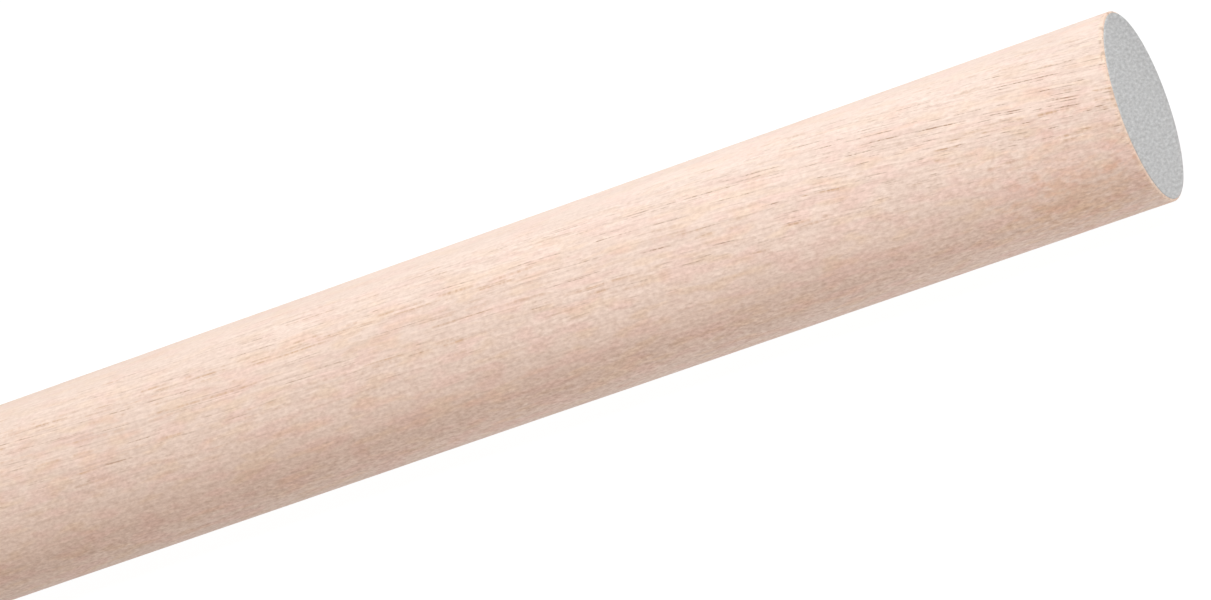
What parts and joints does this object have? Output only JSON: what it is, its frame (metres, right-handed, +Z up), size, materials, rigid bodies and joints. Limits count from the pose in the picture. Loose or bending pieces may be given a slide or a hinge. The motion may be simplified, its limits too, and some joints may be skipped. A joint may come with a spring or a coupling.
{
  "type": "wooden dowel rod",
  "caption": "Straight round hardwood dowel rod with square-cut ends, lightly eased edges and a flat grey coat of marking paint on one end.",
  "frame": {"origin": "middle of the bare sawn end of the rod, on its axis", "axes": "+X along the rod from the bare end to the painted end; +Z up as the rod lies on a bench"},
  "size_m": [0.9146, 0.0254, 0.0254],
  "materials": {
    "pale_hardwood": "bare sanded hardwood, matt",
    "grey_paint": "thin flat grey brushed paint over end grain"
  },
  "bodies": {
    "root": {"rod": "pale_hardwood", "end_paint": "grey_paint"}
  },
  "joints": []
}
